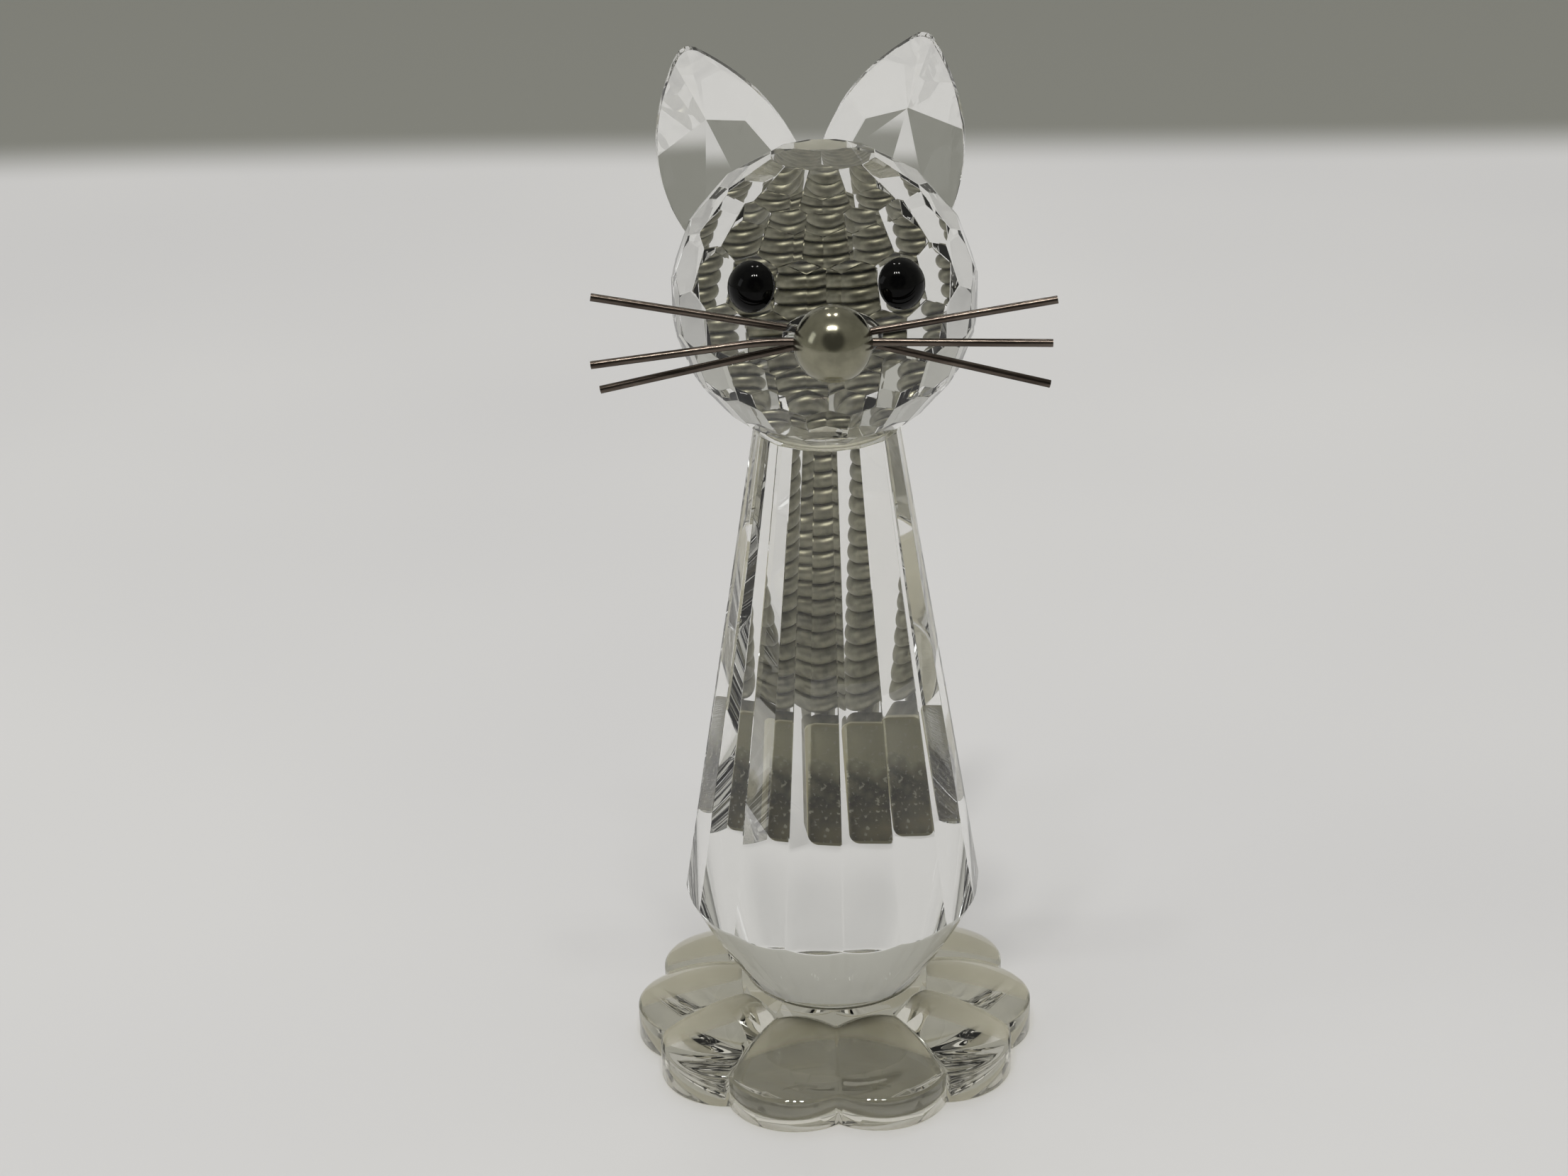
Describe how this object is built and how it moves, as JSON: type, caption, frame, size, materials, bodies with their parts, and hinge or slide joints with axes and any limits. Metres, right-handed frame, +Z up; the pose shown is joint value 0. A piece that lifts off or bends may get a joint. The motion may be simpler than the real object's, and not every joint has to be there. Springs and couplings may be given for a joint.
{
  "type": "crystal glass figurine",
  "caption": "Standing crystal cat figurine with a flower-shaped foot, faceted body, faceted ball head, almond ears, wire whiskers and a springy coiled metal tail.",
  "frame": {"origin": "centre of the flower base's flat underside", "axes": "+Z up, the face looks towards -Y, +X is the viewer's right when facing the cat"},
  "size_m": [0.0287, 0.0312, 0.0705],
  "materials": {
    "crystal": "polished, cut facets",
    "clear_adhesive": "clear",
    "black_glass": "polished dome",
    "nose_metal": "satin nickel",
    "whisker_wire": "drawn wire",
    "tail_metal": "drawn wire, slightly dulled"
  },
  "bodies": {
    "figurine": {"flower_base": "crystal", "body_cone": "crystal", "head_ball": "crystal", "ear_left": "crystal", "ear_right": "crystal", "base_bond": "clear_adhesive", "neck_bond": "clear_adhesive", "eye_bond_left": "clear_adhesive", "eye_bond_right": "clear_adhesive", "ear_bond_left": "clear_adhesive", "ear_bond_right": "clear_adhesive", "nose_bond": "clear_adhesive", "tail_bond": "clear_adhesive", "eye_left": "black_glass", "eye_right": "black_glass", "nose_ball": "nose_metal", "whisker_left_top": "whisker_wire", "whisker_left_bottom": "whisker_wire", "whisker_middle": "whisker_wire", "tail_plate": "tail_metal", "tail_coil_foot": "tail_metal"},
    "tail_lower": {"tail_coil_lower": "tail_metal"},
    "tail_upper": {"tail_coil_upper": "tail_metal"}
  },
  "joints": [
    {"name": "tail_sway", "type": "hinge", "parent": "figurine", "child": "tail_lower", "pos_m": [0.0005, 0.01096, 0.02456], "axis": [0, 1, 0], "range_deg": [-12, 12], "stiffness_Nm_per_rad": 0.02},
    {"name": "tail_lean", "type": "hinge", "parent": "tail_lower", "child": "tail_upper", "pos_m": [0.0005, 0.01409, 0.03522], "axis": [-1, 0, 0], "range_deg": [0, 25], "stiffness_Nm_per_rad": 0.02}
  ]
}
